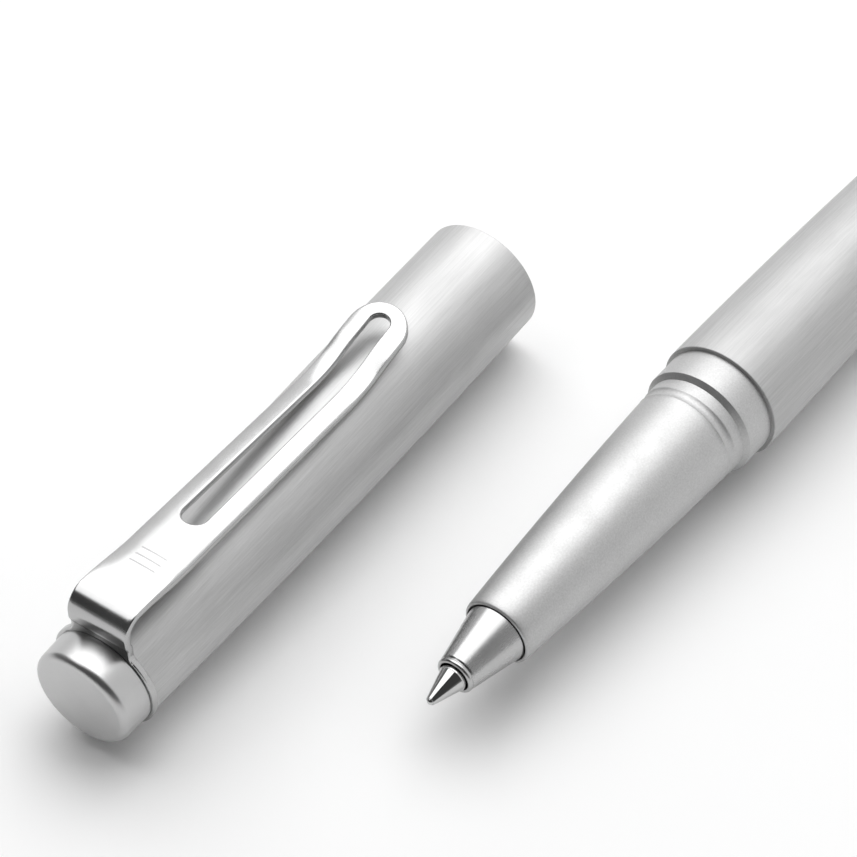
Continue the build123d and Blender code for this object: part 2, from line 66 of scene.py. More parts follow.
# The pen in metres. Stations run along a piece's own axis, on the pen from the barrel's front rim
# and on the cap from its mouth, and are negative towards the nib and the cap's closed end.
# Profiles are written in millimetres and scaled by MM.
MM = 0.001
RIM_FACE = 0.1
AROUND = 160
BESIDE_CORNER = 0.02

mounts = {mount["name"]: mount for mount in frame["record"]["mounts"]}
mouth = mounts["cap_mouth"]
cap_direction = Vector(mouth["axis"]).normalized()
cap_origin = Vector(mouth["pos_m"]) + cap_direction * (mouth["dims"]["length_mm"] / 2 * MM)
tube_low, tube_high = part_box("barrel_tube")
tube_axis = (tube_low + tube_high) / 2
pen_origin = Vector((tube_low.x - RIM_FACE * MM, tube_axis.y, tube_axis.z))


def axis_frame(origin, direction):
    """The matrix whose X runs along an axis, with Z up."""
    side = Vector((0, 0, 1)).cross(direction)
    matrix = Matrix((direction, side, Vector((0, 0, 1)))).transposed().to_4x4()
    matrix.translation = origin
    return matrix


PEN = axis_frame(pen_origin, Vector((1, 0, 0)))
CAP = axis_frame(cap_origin, cap_direction)


# --- Mesh helpers -------------------------------------------------------------------------------


def finished(mesh, name, matrix, material, crease=32):
    """An object made from a mesh given in millimetres in its own frame."""
    mesh.transform(Matrix.Scale(MM, 4))
    mesh.shade_smooth()
    mesh.set_sharp_from_angle(angle=math.radians(crease))
    mesh.materials.append(material)
    piece = bpy.data.objects.new(name, mesh)
    bpy.context.scene.collection.objects.link(piece)
    piece.matrix_world = matrix
    return piece


def rounded(corners, steps=5):
    """A profile of (station, radius, rounding) corners, with each rounding drawn as an arc.

    Every straight run also gets a point close to each of its ends, so that the shading of a long
    wall isn't pulled about by the small arc beside it.
    """
    points = []
    count = len(corners)
    for i, (s, r, rounding) in enumerate(corners):
        here = Vector((s, r))
        before = Vector(corners[i - 1][:2]) - here
        after = Vector(corners[(i + 1) % count][:2]) - here
        if not rounding:
            points.append(here)
            continue
        turn = math.pi - before.angle(after)
        reach = rounding * math.tan(turn / 2)
        start = here + before.normalized() * reach
        end = here + after.normalized() * reach
        bisector = (before.normalized() + after.normalized()).normalized()
        centre = here + bisector * (rounding / math.cos(turn / 2))
        points.append(start + before.normalized() * min(BESIDE_CORNER, before.length / 4))
        first, last = start - centre, end - centre
        sweep = math.atan2(first.x * last.y - first.y * last.x, first.dot(last))
        for k in range(steps + 1):
            spin = Matrix.Rotation(sweep * k / steps, 2)
            points.append(centre + spin @ first)
        points.append(end + after.normalized() * min(BESIDE_CORNER, after.length / 4))
    return points


def lathe(name, body, matrix, profile, material, around=AROUND, crease=32):
    """A closed profile of (station, radius) points turned round the X axis of its frame."""
    build = bmesh.new()
    rings = []
    for s, r in profile:
        if r < 1e-6:
            rings.append([build.verts.new((s, 0, 0))] * around)
            continue
        ring = []
        for k in range(around):
            angle = 2 * math.pi * k / around
            ring.append(build.verts.new((s, r * math.sin(angle), r * math.cos(angle))))
        rings.append(ring)
    for i, ring in enumerate(rings):
        nxt = rings[(i + 1) % len(rings)]
        for k in range(around):
            j = (k + 1) % around
            face = list(dict.fromkeys((ring[k], ring[j], nxt[j], nxt[k])))
            if len(face) > 2:
                build.faces.new(face)
    bmesh.ops.recalc_face_normals(build, faces=build.faces)
    mesh = bpy.data.meshes.new(name)
    build.to_mesh(mesh)
    build.free()
    piece = finished(mesh, name, matrix, material, crease)
    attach(piece, body)
    return piece


def along(outline, start, end, steps):
    """Profile points over one stretch of an outline given as a radius for each station."""
    stretch = (end - start) / steps
    return [(start + stretch * k, outline(start + stretch * k)) for k in range(steps + 1)]


# --- Materials ----------------------------------------------------------------------------------


class Shader:
    """A small builder for one procedural material."""

    def __init__(self, name, **inputs):
        self.material = bpy.data.materials.new(name)
        self.material.use_nodes = True
        self.tree = self.material.node_tree
        self.surface = self.tree.nodes["Principled BSDF"]
        for key, value in inputs.items():
            self.surface.inputs[key.replace("_", " ")].default_value = value

    def node(self, kind, **settings):
        made = self.tree.nodes.new(kind)
        for key, value in settings.items():
            setattr(made, key, value)
        return made

    def link(self, start, end):
        self.tree.links.new(start, end)

    def noise(self, scale, stretch=(1, 1, 1), detail=4, roughness=0.6):
        """Noise in the piece's own coordinates. Scale is in cells a millimetre, shrunk by stretch."""
        place = self.node("ShaderNodeTexCoord")
        mapping = self.node("ShaderNodeMapping")
        mapping.inputs["Scale"].default_value = [scale * axis / MM for axis in stretch]
        noise = self.node("ShaderNodeTexNoise")
        noise.inputs["Scale"].default_value = 1
        noise.inputs["Detail"].default_value = detail
        noise.inputs["Roughness"].default_value = roughness
        self.link(place.outputs["Object"], mapping.inputs["Vector"])
        self.link(mapping.outputs["Vector"], noise.inputs["Vector"])
        return noise.outputs["Fac"]

    def ramp(self, value, low, high, start=0.0, end=1.0):
        """Maps a value between start and end to the range from low to high."""
        spread = self.node("ShaderNodeMapRange")
        spread.inputs["From Min"].default_value = start
        spread.inputs["From Max"].default_value = end
        spread.inputs["To Min"].default_value = low
        spread.inputs["To Max"].default_value = high
        self.link(value, spread.inputs["Value"])
        return spread.outputs["Result"]

    def math(self, operation, first, second):
        node = self.node("ShaderNodeMath", operation=operation)
        for socket, value in zip(node.inputs, (first, second)):
            if isinstance(value, (int, float)):
                socket.default_value = value
            else:
                self.link(value, socket)
        return node.outputs[0]

    def shades(self, value, dark, light):
        """A colour between dark and light for a value from 0 to 1."""
        mix = self.node("ShaderNodeMix", data_type="RGBA")
        mix.inputs["A"].default_value = (*dark, 1)
        mix.inputs["B"].default_value = (*light, 1)
        self.link(value, mix.inputs["Factor"])
        self.link(mix.outputs["Result"], self.surface.inputs["Base Color"])

    def rough(self, value):
        self.link(value, self.surface.inputs["Roughness"])

    def bump(self, height, depth):
        """Relief of the given depth in millimetres for a height from 0 to 1."""
        bump = self.node("ShaderNodeBump")
        bump.inputs["Strength"].default_value = 1
        bump.inputs["Distance"].default_value = depth * MM
        self.link(height, bump.inputs["Height"])
        self.link(bump.outputs["Normal"], self.surface.inputs["Normal"])


def brushed(name, tone, roughness, depth):
    """Metal brushed along X: fine hair lines, some longer and deeper, and cloudy wear."""
    shader = Shader(name, Metallic=1.0)
    hair = shader.noise(7, stretch=(0.025, 1, 1), detail=4, roughness=0.75)
    scratches = shader.noise(3, stretch=(0.04, 1, 1), detail=4, roughness=0.7)
    clouds = shader.noise(0.25, stretch=(0.4, 1, 1), detail=2)
    lines = shader.math("ADD", shader.math("MULTIPLY", hair, 0.6), shader.math("MULTIPLY", scratches, 0.4))
    shader.shades(shader.ramp(lines, 0, 1, 0.36, 0.64), [tone * 0.88] * 3, [min(1, tone * 1.1)] * 3)
    streaks = shader.ramp(lines, -0.04, 0.04, 0.35, 0.65)
    patches = shader.ramp(clouds, -0.04, 0.04, 0.3, 0.7)
    shader.rough(shader.math("ADD", shader.math("ADD", streaks, patches), roughness))
    shader.bump(lines, depth)
    return shader.material


def blasted(name, tone, roughness, depth, grain=9):
    """Bead-blasted metal: fine even dimples with a faint cloudiness."""
    shader = Shader(name, Metallic=1.0)
    grains = shader.noise(grain, detail=2, roughness=0.5)
    clouds = shader.noise(0.4, detail=3)
    shader.shades(shader.ramp(grains, 0, 1, 0.3, 0.7), [tone * 0.93] * 3, [min(1, tone * 1.06)] * 3)
    shader.rough(shader.math("ADD", shader.ramp(clouds, -0.03, 0.03, 0.3, 0.7), roughness))
    shader.bump(grains, depth)
    return shader.material


def polished(name, tone, roughness, depth=0.0008, haze=0.03):
    """Polished steel: almost smooth, with light orange peel, hazy patches and hairline marks."""
    shader = Shader(name, Metallic=1.0)
    peel = shader.noise(1.2, detail=3)
    marks = shader.noise(6, stretch=(0.1, 1, 1), detail=3, roughness=0.7)
    clouds = shader.noise(0.3, detail=2)
    shader.shades(shader.ramp(clouds, 0, 1, 0.3, 0.7), [tone * 0.96] * 3, [min(1, tone * 1.03)] * 3)
    patches = shader.ramp(clouds, -haze, haze, 0.3, 0.7)
    hairlines = shader.ramp(marks, -haze, haze, 0.3, 0.7)
    shader.rough(shader.math("ADD", shader.math("ADD", patches, hairlines), roughness))
    relief = shader.math("ADD", shader.math("MULTIPLY", peel, 0.7), shader.math("MULTIPLY", marks, 0.3))
    shader.bump(relief, depth)
    return shader.material


def moulded(name, dark, light, roughness, depth=0.004):
    """Moulded plastic or rubber: a fine spark-eroded grain and slight mottling."""
    shader = Shader(name, Metallic=0.0)
    grain = shader.noise(7, detail=3)
    clouds = shader.noise(0.5, detail=3)
    shader.shades(shader.ramp(clouds, 0, 1, 0.3, 0.7), dark, light)
    shader.rough(shader.math("ADD", shader.ramp(grain, -0.06, 0.06, 0.3, 0.7), roughness))
    shader.bump(grain, depth)
    return shader.material


barrel_aluminium = brushed("barrel_aluminium", 0.54, 0.64, 0.004)
cap_aluminium = brushed("cap_aluminium", 0.56, 0.57, 0.004)
grip_aluminium = blasted("grip_aluminium", 0.53, 0.52, 0.012, grain=6)
clip_steel = polished("clip_steel", 0.46, 0.21, 0.0003, 0.02)
finial_steel = polished("finial_steel", 0.52, 0.33, 0.0003, 0.02)
cone_steel = polished("cone_steel", 0.46, 0.24, 0.0004)
nib_steel = polished("nib_steel", 0.54, 0.06)
mark_steel = blasted("mark_steel", 0.36, 0.4, 0.002, grain=14)
spring_steel = polished("spring_steel", 0.42, 0.3)
thread_brass = brushed("thread_brass", 0.5, 0.35, 0.004)
black_plastic = moulded("black_plastic", (0.012, 0.012, 0.013), (0.022, 0.022, 0.024), 0.45)
refill_plastic = moulded("refill_plastic", (0.6, 0.61, 0.63), (0.72, 0.73, 0.75), 0.25, 0.001)
rubber = moulded("rubber", (0.01, 0.01, 0.01), (0.02, 0.02, 0.02), 0.6)
ink_colour = moulded("ink_colour", (0.004, 0.004, 0.006), (0.008, 0.008, 0.012), 0.15, 0.001)
grease = moulded("grease", (0.55, 0.5, 0.3), (0.62, 0.56, 0.36), 0.2, 0.001)

# --- Barrel -------------------------------------------------------------------------------------

BODY_RADIUS = (tube_high.z - tube_low.z) / 2 / MM
BARREL_CROWN = 860.0
BARREL_CROWN_TOP = -1.0
TAPER_START = 26.0
BARREL_END = 74.0
COUNTERBORE = 5.54
INSERT_FRONT = 1.98
INSERT_SEAT = 9.5
INSERT_RADIUS = 5.3
FRONT_BORE = 4.6
BORE_STEP = (38.0, 40.0)
REAR_BORE = 3.4


def barrel_radius(station):
    """The barrel's outline: a long arc, then the straight line tangent to it."""
    crowned = BODY_RADIUS - (min(station, TAPER_START) - BARREL_CROWN_TOP) ** 2 / (2 * BARREL_CROWN)
    return crowned - max(station - TAPER_START, 0) * (TAPER_START - BARREL_CROWN_TOP) / BARREL_CROWN


barrel_profile = rounded(
    [
        (RIM_FACE, barrel_radius(RIM_FACE), 0.12),
        (RIM_FACE, COUNTERBORE, 0.05),
        (INSERT_FRONT, COUNTERBORE, 0),
        (INSERT_FRONT, INSERT_RADIUS, 0),
        (INSERT_SEAT, INSERT_RADIUS, 0),
        (INSERT_SEAT, FRONT_BORE, 0),
        (BORE_STEP[0], FRONT_BORE, 0),
        (BORE_STEP[1], REAR_BORE, 0),
        (BARREL_END, REAR_BORE, 0),
        (BARREL_END, barrel_radius(BARREL_END), 0.06),
    ]
)
barrel_profile += reversed(along(barrel_radius, RIM_FACE + 0.4, BARREL_END - 0.3, 60))
barrel = lathe("barrel_shell", "barrel", PEN, barrel_profile, barrel_aluminium)
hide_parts("barrel_tube")

TAIL_RING_END = 74.65
TAIL_RING_RADIUS = 4.4
TAIL_FACE = 78.0
TAIL_SPIGOT = (70.0, 3.37)
tail_ring = lathe(
    "tail_trim_ring",
    "barrel",
    PEN,
    rounded(
        [
            (BARREL_END, REAR_BORE, 0),
            (BARREL_END, TAIL_RING_RADIUS, 0.08),
            (TAIL_RING_END, TAIL_RING_RADIUS, 0.08),
            (TAIL_RING_END, REAR_BORE, 0),
        ]
    ),
    cone_steel,
)
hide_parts("tail_ring")

tail_radius = barrel_radius(TAIL_RING_END)
tail_button = lathe(
    "tail_end_button",
    "barrel",
    PEN,
    rounded(
        [
            (TAIL_SPIGOT[0], 0, 0),
            (*TAIL_SPIGOT, 0.1),
            (TAIL_RING_END, TAIL_SPIGOT[1], 0),
            (TAIL_RING_END, tail_radius, 0.12),
            (TAIL_FACE, tail_radius, 0.8),
            (TAIL_FACE, 0, 0),
        ],
        steps=8,
    ),
    finial_steel,
)
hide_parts("tail_button")

# --- Grip section -------------------------------------------------------------------------------

NOSE_RIM = -34.15
GRIP_END = -6.0
GROOVE_END = -4.95
GROOVE_DEPTH = 0.13
GROOVE_LIP = 5.17
GRIP_ARC = [(NOSE_RIM, 3.43), (-20.0, 4.45), (GRIP_END, 5.15)]
GRIP_TAIL = 8.38
REFILL_BORE = 3.2
NOSE_BORE = 3.12
NOSE_SEAT = -27.6
LAND_RADIUS = 5.22
STEP_FACE = (-3.75, -3.3)
COLLAR_RADIUS = 5.72
SPIGOT_RADIUS = 5.5
SPIGOT_END = 1.2
NECK_RADIUS = 4.55
THREAD_PITCH = 0.75
THREAD_START = 2.3
THREAD_END = 8.3
THREAD_CREST = 4.7
THREAD_ROOT = 4.3


def arc_radius(station, points):
    """Radius at a station on the circle through three (station, radius) points."""
    (x1, y1), (x2, y2), (x3, y3) = points
    d = 2 * (x1 * (y2 - y3) + x2 * (y3 - y1) + x3 * (y1 - y2))
    q1, q2, q3 = x1 * x1 + y1 * y1, x2 * x2 + y2 * y2, x3 * x3 + y3 * y3
    cx = (q1 * (y2 - y3) + q2 * (y3 - y1) + q3 * (y1 - y2)) / d
    cy = (q1 * (x3 - x2) + q2 * (x1 - x3) + q3 * (x2 - x1)) / d
    reach = math.hypot(x1 - cx, y1 - cy)
    return cy + math.copysign(math.sqrt(reach**2 - (station - cx) ** 2), y1 - cy)


def grip_radius(station):
    """The grip's slightly hollow outline, from the nose to the groove."""
    return arc_radius(station, GRIP_ARC)


def groove_radius(station):
    """The shallow hollow that the cap snaps into: round in section, between the grip and the land."""
    share = (station - GRIP_END) / (GROOVE_END - GRIP_END)
    lip = GROOVE_LIP + (LAND_RADIUS - GROOVE_LIP) * share
    return lip - GROOVE_DEPTH * (1 - (2 * share - 1) ** 2)


grip_profile = rounded(
    [
        (GRIP_TAIL, REFILL_BORE, 0),
        (NOSE_SEAT, REFILL_BORE, 0),
        (NOSE_SEAT, NOSE_BORE, 0),
        (NOSE_RIM, NOSE_BORE, 0.04),
        (NOSE_RIM, grip_radius(NOSE_RIM), 0.26),
    ]
)[:-1]
grip_profile += along(grip_radius, NOSE_RIM + 0.36, GRIP_END - 0.05, 48)
grip_profile += along(groove_radius, GRIP_END, GROOVE_END, 14)
grip_profile += rounded(
    [
        (GROOVE_END + 0.1, LAND_RADIUS, 0),
        (STEP_FACE[0], LAND_RADIUS, 0.04),
        (STEP_FACE[1], COLLAR_RADIUS, 0.1),
        (RIM_FACE, COLLAR_RADIUS, 0.02),
        (RIM_FACE, SPIGOT_RADIUS, 0),
        (SPIGOT_END, SPIGOT_RADIUS, 0.1),
        (SPIGOT_END, NECK_RADIUS, 0.05),
        (THREAD_START, NECK_RADIUS, 0.05),
        (THREAD_START, THREAD_ROOT, 0),
    ]
)
grip_profile += [(GRIP_TAIL, THREAD_ROOT)]


def threaded(piece, start, end, root, crest, pitch):
    """Cuts a real helical ridge into the rows of a lathe mesh between two stations."""
    for vertex in piece.data.vertices:
        x, y, z = (value / MM for value in vertex.co)
        radius = math.hypot(y, z)
        if start - 0.01 < x < end + 0.01 and abs(radius - root) < 0.02:
            phase = (x / pitch - math.atan2(y, z) / (2 * math.pi)) % 1.0
            ridge = max(0.0, 1 - abs(phase - 0.5) / 0.4) * 1.25
            fade = min(1.0, (x - start) / pitch, (end - x) / pitch)
            scale = 1 + (crest - root) * min(1.0, ridge) * max(0.0, fade) / root
            vertex.co.y *= scale
            vertex.co.z *= scale


THREAD_ROWS = 112
thread_length = THREAD_END - THREAD_START
thread_rows = [
    (THREAD_START + thread_length * k / THREAD_ROWS, THREAD_ROOT) for k in range(1, THREAD_ROWS + 1)
]
grip_rows = grip_profile[:-1] + thread_rows + grip_profile[-1:]
grip = lathe("grip_body", "section", PEN, grip_rows, grip_aluminium)
threaded(grip, THREAD_START, THREAD_END, THREAD_ROOT, THREAD_CREST, THREAD_PITCH)
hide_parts("grip_section")

# --- Nose cone, nib and ball --------------------------------------------------------------------

NOSE_FRONT = -40.15
NOSE_HOLE = 1.5
NOSE_CAVITY = 2.05
NOSE_SLEEVE_BORE = 2.45
NOSE_SLEEVE_END = -27.63

nose = lathe(
    "nose_cone_shell",
    "section",
    PEN,
    rounded(
        [
            (NOSE_FRONT, NOSE_HOLE, 0.08),
            (-38.6, NOSE_HOLE, 0),
            (-37.4, NOSE_CAVITY, 0),
            (-34.6, NOSE_CAVITY, 0),
            (-34.6, NOSE_SLEEVE_BORE, 0),
            (NOSE_SLEEVE_END, NOSE_SLEEVE_BORE, 0),
            (NOSE_SLEEVE_END, 3.09, 0.1),
            (-34.18, 3.0, 0.1),
            (-39.5, 1.907, 0.05),
            (-39.68, 1.8, 0.08),
            (-39.83, 1.855, 0.05),
            (NOSE_FRONT, 1.86, 0.25),
        ],
        steps=7,
    ),
    cone_steel,
)
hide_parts("nose_cone")

NIB_FRONT = -43.45
NIB_SHOULDER = -40.45
NIB_RADIUS = 1.36
NIB_BACK = -37.03
NIB_STEM_END = -31.0
INK_BORE = 0.25

nib = lathe(
    "nib_cone",
    "refill",
    PEN,
    rounded(
        [
            (NIB_FRONT, 0.35, 0),
            (NIB_FRONT, 0.42, 0.03),
            (NIB_SHOULDER, 1.3, 0),
            (NIB_SHOULDER, NIB_RADIUS, 0.03),
            (NIB_BACK, NIB_RADIUS, 0.05),
            (NIB_BACK, 1.0, 0),
            (NIB_STEM_END, 1.0, 0.05),
            (NIB_STEM_END, INK_BORE, 0),
            (-43.08, INK_BORE, 0),
        ]
    ),
    nib_steel,
)
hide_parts("nib")

# --- Cap ----------------------------------------------------------------------------------------

CAP_CROWN = 1160.0
CAP_CROWN_TOP = -9.0
CAP_END = -57.2
RING_FACE = -57.9
FINIAL_FACE = -61.25
STUD_RADIUS = 1.53
STUD_SOCKET_END = -59.93
CLOSED_END = -55.6
INNER_BORE = (-30.5, 4.75)
TUBE_BORE = 5.42
MOUTH_BORE = (-4.2, 5.78)


def cap_radius(station):
    return BODY_RADIUS - (station - CAP_CROWN_TOP) ** 2 / (2 * CAP_CROWN)


cap_profile = rounded(
    [
        (CAP_END, cap_radius(CAP_END), 0.06),
        (CAP_END, STUD_RADIUS, 0),
        (CLOSED_END, STUD_RADIUS, 0),
        (CLOSED_END, INNER_BORE[1], 0),
        (*INNER_BORE, 0),
        (INNER_BORE[0], TUBE_BORE, 0),
        (MOUTH_BORE[0], TUBE_BORE, 0),
        (*MOUTH_BORE, 0.05),
        (0, MOUTH_BORE[1], 0.06),
        (0, cap_radius(0), 0.08),
    ]
)
cap_profile += reversed(along(cap_radius, CAP_END + 0.3, -0.4, 60))
cap_tube = lathe("cap_shell", "cap", CAP, cap_profile, cap_aluminium)
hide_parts("cap_tube")

finial = lathe(
    "finial_button",
    "cap",
    CAP,
    rounded(
        [
            (STUD_SOCKET_END, STUD_RADIUS, 0),
            (STUD_SOCKET_END, 0, 0),
            (FINIAL_FACE, 0, 0),
            (FINIAL_FACE, 5.0, 0.75),
            (RING_FACE, 5.1, 0.12),
            (RING_FACE, STUD_RADIUS, 0),
        ],
        steps=10,
    ),
    finial_steel,
)
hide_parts("finial")

# --- Clip ---------------------------------------------------------------------------------------

THICKNESS = 0.75
RING_RADIUS = 5.4
EDGE = 0.16
ROOT_HALF_WIDTH = 3.14
TIP = -14.7
TIP_RADIUS = 2.95
SLOT = (-45.6, -16.05)
SLOT_RADII = (1.25, 1.07)
CROWN = 15.0
CROWN_RAMP = 6
PAST_ROOT = 0.12
ROLL_START = 1.8
ROLL_RADIUS = 6.0
ROOT_PLANE = -57.775


def filleted_path(corners, spacing=0.12):
    """Points and unit normals along a polyline of (station, height, radius) with rounded corners."""
    points = []
    for i, (s, h, radius) in enumerate(corners):
        here = Vector((s, h))
        if i in (0, len(corners) - 1):
            points.append(here)
            continue
        before = (Vector(corners[i - 1][:2]) - here).normalized()
        after = (Vector(corners[i + 1][:2]) - here).normalized()
        turn = math.pi - before.angle(after)
        reach = radius * math.tan(turn / 2)
        centre = here + (before + after).normalized() * (radius / math.cos(turn / 2))
        first, last = here + before * reach - centre, here + after * reach - centre
        sweep = math.atan2(first.x * last.y - first.y * last.x, first.dot(last))
        steps = max(4, int(radius * turn / spacing))
        points += [centre + Matrix.Rotation(sweep * k / steps, 2) @ first for k in range(steps + 1)]
    return points


class Path:
    """The clip's middle line seen from the side, followed by its length."""

    def __init__(self, corners):
        self.points = filleted_path(corners)
        self.lengths = [0.0]
        for a, b in zip(self.points, self.points[1:]):
            self.lengths.append(self.lengths[-1] + (b - a).length)
        self.total = self.lengths[-1]

    def at(self, length):
        """The point and the outward normal at a length along the line."""
        length = min(max(length, 0), self.total)
        i = 0
        while i < len(self.lengths) - 2 and self.lengths[i + 1] < length:
            i += 1
        share = (length - self.lengths[i]) / (self.lengths[i + 1] - self.lengths[i])
        return self.points[i].lerp(self.points[i + 1], share), self.tangent(i, share).orthogonal()

    def tangent(self, i, share):
        """The direction, blended between the pieces that meet at each point."""
        def corner(k):
            a = self.points[max(k - 1, 0)]
            b = self.points[min(k + 1, len(self.points) - 1)]
            return (b - a).normalized()
        return corner(i).lerp(corner(i + 1), share).normalized()

    def length_at(self, station):
        """The length at which the arm passes a station."""
        low, high = self.total * PAST_ROOT, self.total
        for _ in range(40):
            middle = (low + high) / 2
            if self.at(middle)[0].x < station:
                low = middle
            else:
                high = middle
        return low


clip_path = Path(
    [
        (-57.55, 3.6, 0),
        (-57.55, 5.65, 0.5),
        (ROOT_PLANE, 6.25, 0.6),
        (ROOT_PLANE, 8.858, 1.72),
        (-23.4, 6.66, 14.0),
        (-19.3, 7.8, 16.0),
        (TIP, 8.52, 0),
    ]
)
RING_LENGTH = 2
BEND_STATION = -55.5
TAPER_STATION = -56.0
FLARE = 0.9
FLARE_TOP = math.sqrt((RING_RADIUS + FLARE) ** 2 - (ROOT_HALF_WIDTH + FLARE) ** 2)
FLARE_DROP = FLARE_TOP * FLARE / (RING_RADIUS + FLARE)
U_TIP = clip_path.total
U_SLOT = tuple(clip_path.length_at(station) for station in SLOT)
U_BEND = clip_path.length_at(BEND_STATION)
U_TAPER = clip_path.length_at(TAPER_STATION)


def half_width(u):
    """Half the strip's width: hollow flares out of the ring, then sides that close in slightly."""
    height = clip_path.at(u)[0].y
    if u < RING_LENGTH and height < FLARE_TOP:
        drop = min(FLARE_TOP - height, FLARE_DROP)
        return ROOT_HALF_WIDTH + FLARE - math.sqrt(FLARE**2 - drop**2)
    share = min(max((u - U_TAPER) / (U_TIP - TIP_RADIUS - U_TAPER), 0), 1)
    return ROOT_HALF_WIDTH + (TIP_RADIUS - ROOT_HALF_WIDTH) * share


def clip_point(u, v, t):
    """A point of the strip from its place along, across and through the thickness.

    Past the bend the strip is crowned across, and rolls off further towards its long sides.
    """
    point, normal = clip_path.at(u)
    crowned = min(max((u - U_BEND) / CROWN_RAMP, 0), 1)
    crowned = crowned * crowned * (3 - 2 * crowned)
    roll = max(abs(v) - ROLL_START, 0)
    lift = t - crowned * (v * v / (2 * CROWN) + roll * roll / (2 * ROLL_RADIUS))
    return Vector((point.x + normal.x * lift, v, point.y + normal.y * lift))


def clip_sections():
    """Cross-cuts of one half of the strip: outer point and its normal, inner point and its normal."""
    cuts = []
    u_start, u_end = U_SLOT
    r_start, r_end = SLOT_RADII
    root_steps = 150
    last = u_start - EDGE
    for k in range(root_steps + 1):
        u = last * k / root_steps
        cuts.append(((u, half_width(u)), (0, 1), (u, 0), None))
    steps = 14
    for k in range(steps + 1):
        a = math.pi / 2 * k / steps
        inner = (u_start + r_start * (1 - math.cos(a)), r_start * math.sin(a))
        u = last + (u_start + r_start - last) * k / steps
        cuts.append(((u, half_width(u)), (0, 1), inner, (-math.cos(a), math.sin(a))))
    rails = 150
    u_a, u_b = u_start + r_start, u_end - r_end
    tip_centre = U_TIP - TIP_RADIUS
    for k in range(1, rails):
        share = k / rails
        u = u_a + (u_b - u_a) * share
        outer = u_a + (tip_centre - u_a) * share
        inner = r_start + (r_end - r_start) * share
        cuts.append(((outer, half_width(outer)), (0, 1), (u, inner), (0, 1)))
    turns = 26
    for k in range(turns + 1):
        a = math.pi / 2 * k / turns
        outer = (tip_centre + TIP_RADIUS * math.sin(a), TIP_RADIUS * math.cos(a))
        inner = (u_b + r_end * math.sin(a), r_end * math.cos(a))
        cuts.append((outer, (math.sin(a), math.cos(a)), inner, (math.sin(a), math.cos(a))))
    return cuts


def edge_point(corner, inward, face, a):
    """A point on a rounded long edge, at angle a from the strip's face to its side.

    Face is 1 for the outer face and -1 for the one towards the tube.
    """
    spot = corner + inward * EDGE * (1 - math.sin(a))
    return spot, face * (THICKNESS / 2 - EDGE * (1 - math.cos(a)))


def clip_mesh():
    """Both halves of the strip, mirrored, from their cross-cuts."""
    build = bmesh.new()
    arc_steps = 4
    lanes = 10
    arc = [math.pi / 2 * k / arc_steps for k in range(arc_steps + 1)]
    half = THICKNESS / 2
    for side in (1, -1):
        previous = None
        for outer, out_normal, inner, in_normal in clip_sections():
            outer_v, inner_v = Vector(outer), Vector(inner)
            out_n = Vector(out_normal)
            in_n = Vector(in_normal) if in_normal else None
            top_outer = outer_v - out_n * EDGE
            top_inner = inner_v + in_n * EDGE if in_n else inner_v
            row = []
            for k in range(lanes + 1):
                spot = top_inner.lerp(top_outer, k / lanes)
                row.append((spot, half))
            row += [edge_point(outer_v, -out_n, 1, a) for a in arc[1:]]
            row += [edge_point(outer_v, -out_n, -1, a) for a in reversed(arc)]
            for k in range(1, lanes + 1):
                row.append((top_outer.lerp(top_inner, k / lanes), -half))
            if in_n:
                row += [edge_point(inner_v, in_n, -1, a) for a in arc[1:]]
                row += [edge_point(inner_v, in_n, 1, a) for a in reversed(arc[1:])]
            ring = [build.verts.new(clip_point(spot.x, spot.y * side, t)) for spot, t in row]
            if previous:
                closed = len(ring) == len(previous) and in_n is not None
                count = min(len(ring), len(previous))
                for k in range(count if closed else count - 1):
                    j = (k + 1) % count if closed else k + 1
                    quad = (previous[k], previous[j], ring[j], ring[k])
                    build.faces.new(quad)
            previous = ring
    bmesh.ops.remove_doubles(build, verts=build.verts, dist=1e-5)
    bmesh.ops.dissolve_degenerate(build, dist=1e-6, edges=build.edges)
    open_edges = [edge for edge in build.edges if edge.is_boundary]
    bmesh.ops.holes_fill(build, edges=open_edges, sides=0)
    bmesh.ops.recalc_face_normals(build, faces=build.faces)
    mesh = bpy.data.meshes.new("clip")
    build.to_mesh(mesh)
    build.free()
    return mesh


clip = finished(clip_mesh(), "clip_one_piece", CAP, clip_steel, crease=50)
ring = lathe(
    "clip_ring_part",
    "cap",
    CAP,
    rounded(
        [
            (RING_FACE, STUD_RADIUS, 0),
            (RING_FACE, RING_RADIUS, 0.16),
            (CAP_END, RING_RADIUS, 0.12),
            (CAP_END, STUD_RADIUS, 0),
        ]
    ),
    clip_steel,
)
ring.parent = None
ring.matrix_world = CAP
bpy.context.view_layer.update()
with bpy.context.temp_override(
    active_object=clip, selected_objects=[clip, ring], selected_editable_objects=[clip, ring]
):
    bpy.ops.object.join()
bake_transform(clip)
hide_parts("clip_arm", "clip_collar")

MARK_STATION = -50.9
MARK_SPACING = 0.85
MARK_HALF_LENGTH = 1.25
MARK_HALF_WIDTH = 0.11
MARK_RELIEF = 0.008
MARK_SUNK = 0.02
MARK_TAPER = 0.8
MARK_END_STEPS = 16
MARK_SIDE_STEPS = 12


